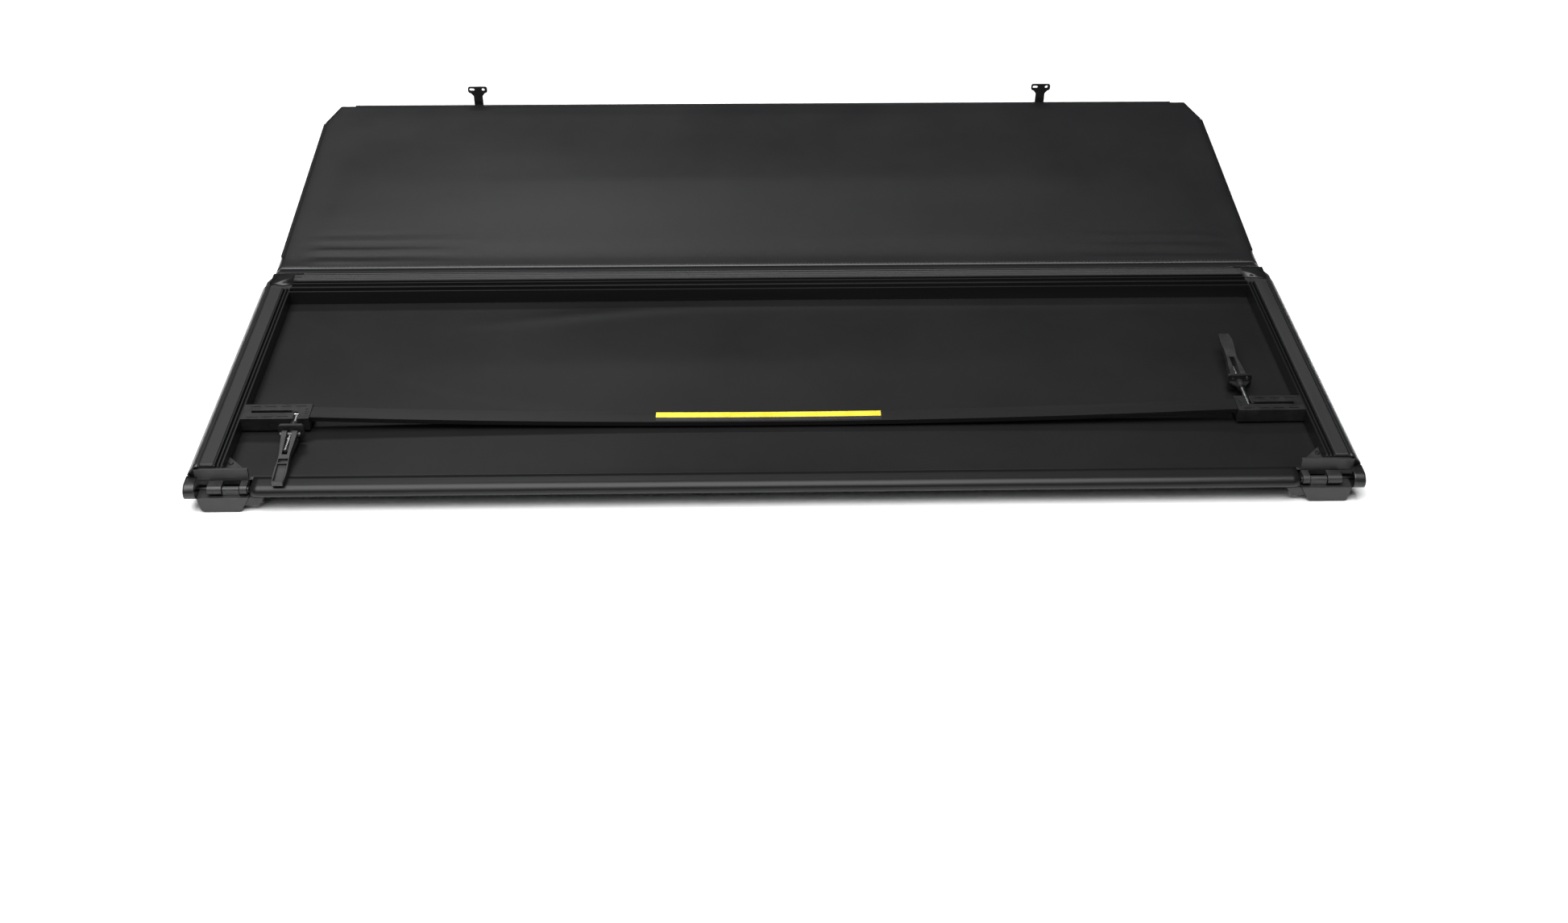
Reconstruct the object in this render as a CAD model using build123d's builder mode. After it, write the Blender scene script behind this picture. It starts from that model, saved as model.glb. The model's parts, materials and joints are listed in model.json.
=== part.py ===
"""Soft tri-fold tonneau cover for a pickup bed, shown partly folded.

The middle panel lies on its seals.  The tail panel is folded over it, underside up.
The front panel lies open behind it, its far end held up by its bulkhead seal.
Millimetres, +Z up, +X across the truck, +Y from the folded edge to the cab end.
"""

import os
from math import cos, radians, sin

from build123d import *

os.makedirs("parts", exist_ok=True)

# ---- panels ----
COVER_W = 1640.0  # across the vinyl, side to side
HALF_W = COVER_W / 2
PANEL_T = 25.0  # seal face to vinyl top
VINYL = 1.5  # sheet thickness
TUCK = 16.0  # how far the vinyl is wrapped under a rail
TUCK_Z = 1.0  # height of the wrapped vinyl over the seal face
SHIM = 0.2  # gap between a piece and the piece it is clamped to
MIDDLE_END = 574.0  # end of the middle panel's rails
TAIL_LENGTH = 569.0  # fold axis to the tail edge
FRONT_LENGTH = 521.0  # front pivot to the cab edge
TAIL_SLOPE = 1.2  # degrees; the folded tail panel rests on its tail edge
FRONT_SLOPE = 3.9  # degrees; the front panel rests on its bulkhead seal
CORNER_CUT_X = 17.0  # bevel of the cab corners
CORNER_CUT_Y = 52.0
TAIL_CUT_X = 12.0  # bevel of the tail corners
TAIL_CUT_Y = 30.0
SIDE_LEAN = 8.0  # the rails' outer walls lean in towards the seal face
LEAN_Z = 16.0  # height over the seal face where they start to lean

# ---- rails ----
RAIL_W = 50.0
TAIL_RAIL_W = 74.0
HEADER_W = 46.0
SEAL_FROM = 18.0  # seal strip, measured in from the vinyl's outer face
SEAL_W = 19.0
SEAL_T = 4.0
GROOVE_Z = 8.0  # depth of the accessory grooves
LIP_Z = 1.0  # the ribs between them stop this far above the seal face
WALL = 2.2
CHAMBER_Z = GROOVE_Z + 1.8  # underside of the rail's hollow
FRONT_CORNER_LEN = CORNER_CUT_Y + TUCK + 2.0
TAIL_CORNER_LEN = 60.0

# ---- bows ----
BOW_W = 27.0
BOW_T = 7.0
BOW_RISE = 15.0
FRONT_BOW_Y = 236.0  # from the front pivot
MIDDLE_BOW_Y = 312.0  # from the fold axis
TAIL_BOW_Y = 148.0
SOCKET_LEN = 60.0
SOCKET_WALL = 3.0
BOW_ENTRY = 8.0  # length of bow end held in a socket

# ---- fold between middle and tail panels ----
FOLD_Z = PANEL_T + 7.0  # axis height over the middle panel's seal face
FOLD_GAP = 12.0  # axis to the end of each panel
HINGE_IN = HALF_W - 85.0  # inner face of the hinge blocks
HINGE_OUT = HALF_W - 13.0
BLOCK_FACE = 10.0  # how far the block stands out past the axis
BLOCK_TOP = PANEL_T - 1.0
BLOCK_FOOT = 2.0  # height where the block's slanted sides end
BLOCK_SPLAY = 13.0  # how far the inner side slants under
PIN_R = 2.6
PIN_PLAY = 0.15
KNUCKLE_R = 6.6
MIDDLE_KNUCKLE_R = 5.0
OUTER_KNUCKLE = (HALF_W - 48.0, HALF_W - 28.0)
INNER_KNUCKLE = (HALF_W - 83.0, HALF_W - 73.0)
KNUCKLE_PLAY = 1.0
END_PLATE_T = 4.0
ROLL_FACE = 12.0  # how far the vinyl roll stands out past the axis
FIT = 0.3
TENON_LEN = 28.0

# ---- link between front and middle panels ----
LINK_Z = PANEL_T - 6.5  # pivot height
LINK_R = 4.8
LINK_SPAN = 62.0  # pivot to pivot
LINK_Y = MIDDLE_END + 11.0  # pivot on the middle panel
LINK_IN = HALF_W - 68.0
LINK_OUT = HALF_W - 30.0
LINK_EAR = 12.0  # width of the ears on each side of a link

# ---- rear clamps ----
CLAMP_X = HALF_W - 128.0
BRACKET_LEN = 98.0
BRACKET_W = 38.0
BRACKET_Z = PANEL_T - 5.0
BRACKET_WALL = 3.0
BOLT_R = 2.6
BOLT_SLOT = 6.2
BOLT_LEN = 92.0
BOLT_BAR = 16.0  # cross bar under the slot
BARREL_AT = {"left": 52.0, "right": 76.0}  # where the barrel is screwed to
BARREL_R = 4.6
BARREL_LEN = 29.0
LEVER_REACH = 107.0
LEVER_W = 22.0
LEVER_WAIST = 15.0
LEVER_T = 8.0
LEVER_SLOPE = 6.0
CAM_R = 8.0
CAM_OFFSET = 2.5
JAW_W = 36.0
JAW_H = 24.0
JAW_T = 5.0
JAW_HUB_R = 6.0
JAW_HUB_LEN = 16.0

# ---- cab hooks ----
HOOK_AT = {"left": -540.0, "right": 522.0}  # hooks as they were slid along the header
HOOK_T = 3.0
HOOK_TOP = 32.0  # how far a hook stands over the vinyl
HOOK_HEAD_W = 36.0
HOOK_HEAD_H = 13.0
HOOK_NECK_W = 17.0
HOOK_PIVOT_OUT = 7.0  # pivot beyond the cab edge
HOOK_PIVOT_Z = 4.0
HOOK_PIN_R = 2.0
HOOK_KNUCKLE_R = 4.0

BULB_R = 9.0
STRIP_LEN = 328.0
STRIP_W = 22.0
STRIP_X = -11.0
SCREW_R = 3.6
SCREW_H = 2.0

RAIL_TOP = PANEL_T - VINYL
RAIL_IN = HALF_W - RAIL_W
CHAMBER_TOP = RAIL_TOP - WALL
CHAMBER_IN = 8.0  # rail hollow, measured in from the vinyl's outer face
CHAMBER_W = 28.0
FRONT_START = 9.0  # front pivot to the end of the front rails

# ---- panel frames: x across, y along the truck, z from seal face to vinyl ----
front_pivot_y = LINK_Y + LINK_SPAN
hook_y = FRONT_LENGTH + HOOK_PIVOT_OUT
hook_pivot_y = (
    front_pivot_y
    + hook_y * cos(radians(FRONT_SLOPE))
    + (LINK_Z - HOOK_PIVOT_Z) * sin(radians(FRONT_SLOPE))
)
cab_edge_y = hook_pivot_y + HOOK_KNUCKLE_R
CENTRE_Y = (cab_edge_y - ROLL_FACE) / 2
middle = Plane(origin=(0, -CENTRE_Y, 0), x_dir=(1, 0, 0), z_dir=(0, 0, 1))

tail_up = Vector(0, -sin(radians(TAIL_SLOPE)), -cos(radians(TAIL_SLOPE)))
fold_axis = middle.from_local_coords(Vector(0, 0, FOLD_Z))
tail = Plane(origin=fold_axis - tail_up * FOLD_Z, x_dir=(1, 0, 0), z_dir=tail_up)

front_up = Vector(0, -sin(radians(FRONT_SLOPE)), cos(radians(FRONT_SLOPE)))
front_axis = middle.from_local_coords(Vector(0, front_pivot_y, LINK_Z))
front = Plane(origin=front_axis - front_up * LINK_Z, x_dir=(1, 0, 0), z_dir=front_up)


def level(frame, z):
    """A plane parallel to a panel at height z over its seal face."""
    return frame.offset(z)


def across(frame, y):
    """Upright plane across a panel: sketch x is panel x, sketch y is panel z, facing panel -y."""
    origin = frame.from_local_coords(Vector(0, y, 0))
    return Plane(origin=origin, x_dir=frame.x_dir, z_dir=-frame.y_dir)


def along(frame, x):
    """Upright plane along a panel: sketch x is panel y, sketch y is panel z, facing panel +x."""
    origin = frame.from_local_coords(Vector(x, 0, 0))
    return Plane(origin=origin, x_dir=frame.y_dir, z_dir=frame.x_dir)


def inward(frame, corner, direction):
    """Rail section plane: sketch x runs in from the vinyl's outer face, sketch y is panel z."""
    origin = frame.from_local_coords(Vector(*corner))
    return Plane(origin=origin, x_dir=direction, z_dir=direction.cross(frame.z_dir))


def patch(low, high, mode=Mode.ADD):
    """Rectangle between two corners of the current sketch."""
    with Locations(low):
        Rectangle(high[0] - low[0], high[1] - low[1], align=(Align.MIN, Align.MIN), mode=mode)


def block(frame, low, high, mode=Mode.ADD):
    """Box between two corners given in a panel's frame."""
    with BuildSketch(level(frame, low[2])) as base:
        patch(low[:2], high[:2])
    extrude(base.sketch, amount=high[2] - low[2], mode=mode)


def rod(frame, x_from, x_to, y, z, radius, mode=Mode.ADD):
    """Round bar along x."""
    with BuildSketch(along(frame, x_from)) as disc:
        with Locations((y, z)):
            Circle(radius)
    extrude(disc.sketch, amount=x_to - x_from, mode=mode)


def save(piece, name):
    """Label a finished sub-part and write it."""
    piece.part.label = name
    export_step(piece.part, f"parts/{name}.step")


# ---- rails ----
def rail_section(width, grooves, chamber_w):
    """Extrusion section: vinyl recess, seal seat, open grooves and one hollow."""
    patch((VINYL, LIP_Z), (width, RAIL_TOP))
    lean = ((VINYL, LEAN_Z), (VINYL, LIP_Z), (VINYL + SIDE_LEAN, LIP_Z))
    Polygon(*lean, align=None, mode=Mode.SUBTRACT)
    patch((VINYL, LIP_Z), (TUCK + SHIM, TUCK_Z + VINYL), Mode.SUBTRACT)
    patch((SEAL_FROM - SHIM, LIP_Z), (SEAL_FROM + SEAL_W + SHIM, SEAL_T), Mode.SUBTRACT)
    for start, end, depth in grooves:
        patch((start, LIP_Z), (end, depth), Mode.SUBTRACT)
    patch((CHAMBER_IN, CHAMBER_Z), (CHAMBER_IN + chamber_w, CHAMBER_TOP), Mode.SUBTRACT)


SIDE_GROOVES = ((39.0, 42.5, GROOVE_Z), (44.5, 48.0, GROOVE_Z - 2))
TAIL_GROOVES = ((39.5, 45.0, GROOVE_Z), (47.5, 57.0, GROOVE_Z - 2), (61.0, 71.5, GROOVE_Z))


def side_rail(frame, y_from, y_to, name, side):
    """Side rail of one panel."""
    corner = (side * HALF_W, y_from if side > 0 else y_to, 0)
    with BuildPart() as rail:
        with BuildSketch(inward(frame, corner, frame.x_dir * -side)):
            rail_section(RAIL_W, SIDE_GROOVES, CHAMBER_W)
        extrude(amount=y_to - y_from)
    save(rail, name)


front_rail_end = FRONT_LENGTH - FRONT_CORNER_LEN
tail_rail_end = TAIL_LENGTH - TAIL_CORNER_LEN
tail_rail_start = FOLD_GAP + END_PLATE_T
for side, word in ((-1, "left"), (1, "right")):
    side_rail(front, FRONT_START + END_PLATE_T, front_rail_end, f"front_{word}_rail", side)
    side_rail(middle, FOLD_GAP, MIDDLE_END, f"middle_{word}_rail", side)
    side_rail(tail, -tail_rail_end, -tail_rail_start, f"tail_{word}_rail", side)

with BuildPart() as front_header_rail:
    with BuildSketch(inward(front, (RAIL_IN, FRONT_LENGTH, 0), -front.y_dir)):
        rail_section(HEADER_W, (), CHAMBER_W)
    extrude(amount=2 * RAIL_IN)
save(front_header_rail, "front_header_rail")

with BuildPart() as tail_cross_rail:
    with BuildSketch(inward(tail, (-RAIL_IN, -TAIL_LENGTH, 0), tail.y_dir)):
        rail_section(TAIL_RAIL_W, TAIL_GROOVES, CHAMBER_W)
    extrude(amount=2 * RAIL_IN)
save(tail_cross_rail, "tail_cross_rail")


# ---- corner blocks, plugged into the hollow rails ----
def outline(inset, y_open, y_closed, cut_x, cut_y):
    """Plan of a panel, bevelled at the corners of its closed end."""
    way = 1 if y_closed > y_open else -1
    half, end = HALF_W - inset, y_closed - way * inset
    return (
        (-half, y_open),
        (half, y_open),
        (half, end - way * cut_y),
        (half - cut_x, end),
        (-half + cut_x, end),
        (-half, end - way * cut_y),
    )


def corner_blocks(frame, y_closed, y_rail, cut_x, cut_y, name):
    """Two moulded corners, each with a plug for its side rail and one for the cross rail."""
    way = 1 if y_closed > 0 else -1
    y_plug = y_rail - way * TENON_LEN
    plug_low, plug_high = CHAMBER_Z + FIT, CHAMBER_TOP - FIT
    with BuildPart() as corners:
        with BuildSketch(level(frame, TUCK_Z + VINYL + SHIM)):
            Polygon(*outline(SIDE_LEAN, y_rail, y_closed, cut_x, cut_y), align=None)
            patch((-RAIL_IN, -2 * FRONT_LENGTH), (RAIL_IN, 2 * FRONT_LENGTH), Mode.SUBTRACT)
        extrude(amount=RAIL_TOP - TUCK_Z - VINYL - 2 * SHIM)
        for side in (-1, 1):
            outer = side * (HALF_W - CHAMBER_IN - FIT)
            inner = side * (HALF_W - CHAMBER_IN - CHAMBER_W + FIT)
            block(
                frame,
                (min(outer, inner), min(y_rail, y_plug), plug_low),
                (max(outer, inner), max(y_rail, y_plug), plug_high),
            )
            face, reach = side * RAIL_IN, side * (RAIL_IN - TENON_LEN)
            near = y_closed - way * (CHAMBER_IN + FIT)
            deep = y_closed - way * (CHAMBER_IN + CHAMBER_W - FIT)
            block(
                frame,
                (min(face, reach), min(near, deep), plug_low),
                (max(face, reach), max(near, deep), plug_high),
            )
    save(corners, name)


corner_blocks(front, FRONT_LENGTH, front_rail_end, CORNER_CUT_X, CORNER_CUT_Y, "front_corners")
corner_blocks(tail, -TAIL_LENGTH, -tail_rail_end, TAIL_CUT_X, TAIL_CUT_Y, "tail_corners")


# ---- vinyl skins ----
def skin(frame, y_open, y_closed, cut_x, cut_y, name):
    """Vinyl over one panel, wrapped down its sides and closed end and tucked under.

    The front panel's face and its wrapped sides are two sub-parts.
    """
    with BuildPart() as sheet:
        with BuildSketch(level(frame, TUCK_Z)):
            Polygon(*outline(0, y_open, y_closed, cut_x, cut_y), align=None)
        extrude(amount=PANEL_T - TUCK_Z)
        with BuildSketch(level(frame, TUCK_Z + VINYL)):
            Polygon(*outline(VINYL, y_open, y_closed, cut_x, cut_y), align=None)
        extrude(amount=RAIL_TOP - TUCK_Z - VINYL, mode=Mode.SUBTRACT)
        with BuildSketch(level(frame, TUCK_Z)):
            Polygon(*outline(TUCK, y_open, y_closed, cut_x, cut_y), align=None)
        extrude(amount=VINYL, mode=Mode.SUBTRACT)
        if name == "tail_skin":
            notch = FOLD_GAP + END_PLATE_T + 1.0
            block(tail, (HINGE_IN - 2, -notch, 0), (HALF_W, 0, PANEL_T), Mode.SUBTRACT)
            block(tail, (-HALF_W, -notch, 0), (2 - HINGE_IN, 0, PANEL_T), Mode.SUBTRACT)
    if name == "front_skin":
        with BuildPart() as skirt:
            add(sheet.part)
            split(bisect_by=level(frame, RAIL_TOP), keep=Keep.BOTTOM)
        save(skirt, "front_skirt")
        with BuildPart() as sheet:
            with BuildSketch(level(frame, RAIL_TOP)):
                Polygon(*outline(0, y_open, y_closed, cut_x, cut_y), align=None)
            extrude(amount=PANEL_T - RAIL_TOP)
    save(sheet, name)


skin(front, FRONT_START, FRONT_LENGTH, CORNER_CUT_X, CORNER_CUT_Y, "front_skin")
skin(tail, -FOLD_GAP, -TAIL_LENGTH, TAIL_CUT_X, TAIL_CUT_Y, "tail_skin")


EAR_RELIEF = 6.0  # the link vinyl stays this far from a pivot over its ears


def open_skin(y_from, y_to, name):
    """Vinyl over a stretch with no closed end, wrapped down both sides."""
    with BuildPart() as sheet:
        with BuildSketch(across(middle, y_to)):
            patch((-HALF_W, TUCK_Z), (HALF_W, PANEL_T))
            patch((-HALF_W + VINYL, TUCK_Z + VINYL), (HALF_W - VINYL, RAIL_TOP), Mode.SUBTRACT)
            patch((-HALF_W + TUCK, TUCK_Z), (HALF_W - TUCK, TUCK_Z + VINYL), Mode.SUBTRACT)
        extrude(amount=y_to - y_from)
        if name == "link_vinyl":
            ears = sorted((LINK_IN - LINK_EAR - 2.0, LINK_OUT + LINK_EAR + 2.0))
            for low, high in (ears, [-x for x in reversed(ears)]):
                for y in (LINK_Y, front_pivot_y):
                    relief = (y - EAR_RELIEF, y + EAR_RELIEF)
                    block(
                        middle, (low, relief[0], RAIL_TOP - 1.0), (high, relief[1], PANEL_T), Mode.SUBTRACT
                    )
    save(sheet, name)


open_skin(FOLD_GAP, MIDDLE_END + END_PLATE_T - 1.0, "middle_skin")
open_skin(LINK_Y + 1.0, front_pivot_y - 1.0, "link_vinyl")

roll_r = FOLD_Z - PANEL_T + VINYL  # outer radius of the vinyl loop at the fold
roll_y = roll_r - ROLL_FACE
lever_gap = LEVER_W / 2 + 5.0
with BuildPart() as fold_vinyl:
    with BuildSketch(along(middle, -HINGE_IN + 5.0)):
        with Locations((roll_y, FOLD_Z)):
            Circle(roll_r)
        patch((roll_y, FOLD_Z - roll_r), (FOLD_GAP - SHIM, FOLD_Z))
        patch((roll_y, FOLD_Z), (FOLD_GAP - 1.6, FOLD_Z + roll_r))
        with Locations((roll_y, FOLD_Z)):
            Circle(roll_r - VINYL, mode=Mode.SUBTRACT)
        patch((roll_y, FOLD_Z - roll_r + VINYL), (FOLD_GAP, FOLD_Z + roll_r - VINYL), Mode.SUBTRACT)
    extrude(amount=2 * HINGE_IN - 10.0)
    block(
        middle,
        (-CLAMP_X - lever_gap, -2 * ROLL_FACE, 0),
        (-CLAMP_X + lever_gap, 2 * ROLL_FACE, 2 * FOLD_Z),
        Mode.SUBTRACT,
    )
save(fold_vinyl, "fold_vinyl")


# ---- seals ----
def side_seals(frame, y_from, y_to, name):
    """Foam strips in the side rails' seats; they lie on the bed rails."""
    x_out = HALF_W - SEAL_FROM
    with BuildPart() as strips:
        block(frame, (x_out - SEAL_W, y_from, 0), (x_out, y_to, SEAL_T))
        mirror(about=Plane.YZ)
    save(strips, name)


side_seals(front, FRONT_START + END_PLATE_T, front_rail_end, "front_side_seals")
side_seals(middle, FOLD_GAP, MIDDLE_END, "middle_side_seals")
side_seals(tail, -tail_rail_end, -tail_rail_start, "tail_side_seals")

with BuildPart() as tail_edge_seal:
    seal_y = -TAIL_LENGTH + SEAL_FROM
    with BuildSketch(along(tail, -RAIL_IN)):
        patch((seal_y, 1.2), (seal_y + SEAL_W, SEAL_T))
        with Locations([(seal_y + 2.5 + i * 4.6, 1.2) for i in range(4)]):
            Circle(1.2)
    extrude(amount=2 * RAIL_IN)
save(tail_edge_seal, "tail_edge_seal")

bulb_y = FRONT_LENGTH - SEAL_FROM - SEAL_W / 2
bulb_foot = front.from_local_coords(Vector(0, bulb_y, 0)).Z
bulb_z = (BULB_R - bulb_foot) / cos(radians(FRONT_SLOPE))
with BuildPart() as bulkhead_seal:
    with BuildSketch(along(front, -RAIL_IN)):
        patch((bulb_y - SEAL_W / 2, 0.5), (bulb_y + SEAL_W / 2, SEAL_T))
        patch((bulb_y - BULB_R, bulb_z), (bulb_y + BULB_R, 0.5))
        with Locations((bulb_y, bulb_z)):
            Circle(BULB_R)
        with Locations((bulb_y, bulb_z)):
            Circle(BULB_R - WALL, mode=Mode.SUBTRACT)
        patch((bulb_y - BULB_R + WALL, bulb_z), (bulb_y + BULB_R - WALL, -WALL), Mode.SUBTRACT)
    extrude(amount=2 * RAIL_IN)
save(bulkhead_seal, "bulkhead_seal")


# ---- bows: arched bars that crown the vinyl ----
def bow(frame, y, half_span, name):
    """Flat bar bent to a shallow arc, its crown just under the vinyl."""
    top = RAIL_TOP - SHIM
    radius = (half_span**2 + BOW_RISE**2) / (2 * BOW_RISE)
    with BuildPart() as bar:
        with BuildSketch(across(frame, y + BOW_W / 2)):
            with Locations((0, top - radius)):
                Circle(radius)
                Circle(radius - BOW_T, mode=Mode.SUBTRACT)
            patch((-half_span, top - BOW_RISE - 2 * BOW_T), (half_span, PANEL_T), Mode.INTERSECT)
        extrude(amount=BOW_W)
    save(bar, name)


bracket_in = RAIL_IN - BRACKET_LEN
socket_in = RAIL_IN - SOCKET_LEN
bow(front, FRONT_BOW_Y, socket_in + BOW_ENTRY, "front_bow")
bow(middle, MIDDLE_BOW_Y, socket_in + BOW_ENTRY, "middle_bow")
bow(tail, -TAIL_BOW_Y, bracket_in + BOW_ENTRY, "tail_bow")


def bow_mouth(frame, x_from, x_to, y, mode=Mode.SUBTRACT):
    """Opening for a bow's end, a little larger than the bar."""
    low = RAIL_TOP - BOW_RISE - BOW_T - 2 * FIT
    high = RAIL_TOP - BOW_RISE + 1.0
    block(
        frame,
        (x_from, y - BOW_W / 2 - FIT, low),
        (x_to, y + BOW_W / 2 + FIT, high),
        mode,
    )


def bow_sockets(frame, y, name):
    """Plain moulded sockets on the rails' inner walls."""
    half = BOW_W / 2 + SOCKET_WALL
    with BuildPart() as sockets:
        block(frame, (socket_in, y - half, 0.6), (RAIL_IN, y + half, RAIL_TOP - 6.0))
        bow_mouth(frame, socket_in - 1.0, socket_in + BOW_ENTRY + FIT, y)
        block(
            frame,
            (socket_in + BOW_ENTRY + 6.0, y - BOW_W / 2, 4.0),
            (RAIL_IN - SOCKET_WALL, y + BOW_W / 2, RAIL_TOP),
            Mode.SUBTRACT,
        )
        mirror(about=Plane.YZ)
    save(sockets, name)


bow_sockets(front, FRONT_BOW_Y, "front_bow_sockets")
bow_sockets(middle, MIDDLE_BOW_Y, "middle_bow_sockets")

# ---- clamp brackets on the tail panel: one moulding, turned round on the left ----
DASH_LEN = 15.0
DASH_W = 1.6
DASHES = 4
bolt_z = BRACKET_WALL + BOLT_R + FIT  # bolt axis under the bracket's face


def clamp_bracket(side, name):
    """Slotted box that carries a bow's end and the clamp bolt."""
    way = side  # panel y direction in which the bolt lies; the notch opens that way
    x_in, x_out = side * bracket_in, side * RAIL_IN
    low_x, high_x = min(x_in, x_out), max(x_in, x_out)
    y_mid = -TAIL_BOW_Y
    notch_x = side * CLAMP_X
    slot_end = side * (RAIL_IN - 16.0)
    with BuildPart() as bracket:
        block(tail, (low_x, y_mid - BRACKET_W / 2, 0), (high_x, y_mid + BRACKET_W / 2, BRACKET_Z))
        block(
            tail,
            (low_x + BRACKET_WALL, y_mid - BRACKET_W / 2 + BRACKET_WALL, BRACKET_WALL),
            (high_x - BRACKET_WALL, y_mid + BRACKET_W / 2 - BRACKET_WALL, BRACKET_Z),
            Mode.SUBTRACT,
        )
        # long slot, and the notch that lets the bolt lie down
        block(
            tail,
            (min(notch_x, slot_end) - BOLT_SLOT / 2, y_mid - BOLT_SLOT / 2, 0),
            (max(notch_x, slot_end) + BOLT_SLOT / 2, y_mid + BOLT_SLOT / 2, BRACKET_WALL),
            Mode.SUBTRACT,
        )
        notch_end = y_mid - way * BRACKET_W / 2
        block(
            tail,
            (notch_x - BOLT_SLOT / 2, min(y_mid, notch_end), 0),
            (notch_x + BOLT_SLOT / 2, max(y_mid, notch_end), bolt_z + BOLT_R + 2 * FIT),
            Mode.SUBTRACT,
        )
        # rows of dashes along both edges, and ticks at the inner end
        pitch = (BRACKET_LEN - 10.0) / DASHES
        for row in (-1, 1):
            for i in range(DASHES):
                x = side * (bracket_in + 5.0 + pitch * (i + 0.5))
                if row == -way and abs(x - notch_x) < DASH_LEN / 2 + BOLT_SLOT / 2 + 2:
                    continue
                y = y_mid + row * (BRACKET_W / 2 - 5.5)
                block(
                    tail,
                    (x - DASH_LEN / 2, y - DASH_W / 2, 0),
                    (x + DASH_LEN / 2, y + DASH_W / 2, BRACKET_WALL),
                    Mode.SUBTRACT,
                )
        for i in (-1, 0, 1):
            x = side * (bracket_in + 6.5)
            y = y_mid + i * 5.5
            block(tail, (x - 1.8, y - 0.8, 0), (x + 1.8, y + 0.8, BRACKET_WALL), Mode.SUBTRACT)
        bow_low, bow_high = sorted((x_in - side, side * (bracket_in + BOW_ENTRY + FIT)))
        bow_mouth(tail, bow_low, bow_high, y_mid)
    save(bracket, name)


clamp_bracket(-1, "left_clamp_bracket")
clamp_bracket(1, "right_clamp_bracket")


# ---- hinges between the middle and tail panels ----
def rail_plug(frame, y_from, y_to):
    """Plug that fills the right-hand rail's hollow at one end."""
    block(
        frame,
        (HALF_W - CHAMBER_IN - CHAMBER_W + FIT, y_from, CHAMBER_Z + FIT),
        (HALF_W - CHAMBER_IN - FIT, y_to, CHAMBER_TOP - FIT),
    )


middle_knuckle_in = INNER_KNUCKLE[1] + KNUCKLE_PLAY
middle_knuckle_out = OUTER_KNUCKLE[0] - KNUCKLE_PLAY
with BuildPart() as middle_hinge_blocks:
    with BuildSketch(across(middle, FOLD_GAP)):
        Polygon(
            (HINGE_IN, BLOCK_TOP),
            (HINGE_IN + BLOCK_SPLAY, BLOCK_FOOT),
            (HINGE_IN + BLOCK_SPLAY + 3.0, 0.5),
            (HINGE_OUT - 8.0, 0.5),
            (HINGE_OUT - 4.0, 3.0),
            (HINGE_OUT, BLOCK_TOP),
            align=None,
        )
    extrude(amount=FOLD_GAP + BLOCK_FACE)
    rail_plug(middle, FOLD_GAP, FOLD_GAP + TENON_LEN)
    web = (MIDDLE_KNUCKLE_R, BLOCK_TOP - 1.0)
    with BuildSketch(along(middle, middle_knuckle_in)):
        with Locations((0, FOLD_Z)):
            Circle(MIDDLE_KNUCKLE_R)
        patch((-web[0], web[1]), (web[0], FOLD_Z))
    extrude(amount=middle_knuckle_out - middle_knuckle_in)
    rod(middle, middle_knuckle_in, middle_knuckle_out, 0, FOLD_Z, PIN_R + PIN_PLAY, Mode.SUBTRACT)
    mirror(about=Plane.YZ)
save(middle_hinge_blocks, "middle_hinge_blocks")

LUG_LEN = 20.0
LUG_FOOT = 8.0
lug_top = BLOCK_TOP - 2.0
block_slant = BLOCK_SPLAY / (BLOCK_TOP - BLOCK_FOOT)
with BuildPart() as middle_side_lugs:
    with BuildSketch(across(middle, 2.0)):
        Polygon(
            (HINGE_IN + (BLOCK_TOP - lug_top) * block_slant - SHIM, lug_top),
            (HINGE_IN + (BLOCK_TOP - LUG_FOOT) * block_slant - SHIM, LUG_FOOT),
            (HINGE_IN - LUG_LEN + 8.0, LUG_FOOT),
            (HINGE_IN - LUG_LEN, lug_top),
            align=None,
        )
    extrude(amount=8.0)
    mirror(about=Plane.YZ)
save(middle_side_lugs, "middle_side_lugs")

GUSSET_Z = 14.0
GUSSET_T = 3.0
GUSSET_LEN = 38.0
plate_start = -FOLD_GAP - END_PLATE_T
with BuildPart() as tail_hinge_brackets:
    block(tail, (HINGE_IN + 1.0, plate_start, 6.0), (HALF_W - VINYL - SIDE_LEAN, -FOLD_GAP, FOLD_Z))
    for x_from, x_to in (OUTER_KNUCKLE, INNER_KNUCKLE):
        rod(tail, x_from, x_to, 0, FOLD_Z, KNUCKLE_R)
        arm_low, arm_high = FOLD_Z - KNUCKLE_R, FOLD_Z + KNUCKLE_R
        block(tail, (x_from, plate_start, arm_low), (x_to, 0, arm_high))
        rod(tail, x_from, x_to, 0, FOLD_Z, PIN_R + PIN_PLAY, Mode.SUBTRACT)
    with BuildSketch(level(tail, GUSSET_Z)):
        Polygon(
            (HINGE_IN + 1.0, plate_start),
            (RAIL_IN, plate_start),
            (RAIL_IN, plate_start - GUSSET_LEN),
            align=None,
        )
    extrude(amount=GUSSET_T)
    rail_plug(tail, plate_start - TENON_LEN, plate_start)
    mirror(about=Plane.YZ)
save(tail_hinge_brackets, "tail_hinge_brackets")

PIN_HEAD_R = 4.2
PIN_HEAD_T = 2.0
with BuildPart() as fold_pins:
    rod(tail, INNER_KNUCKLE[0] - PIN_HEAD_T, OUTER_KNUCKLE[1] + 1.0, 0, FOLD_Z, PIN_R)
    rod(tail, INNER_KNUCKLE[0] - PIN_HEAD_T, INNER_KNUCKLE[0] - FIT, 0, FOLD_Z, PIN_HEAD_R)
    mirror(about=Plane.YZ)
save(fold_pins, "fold_pins")


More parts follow.
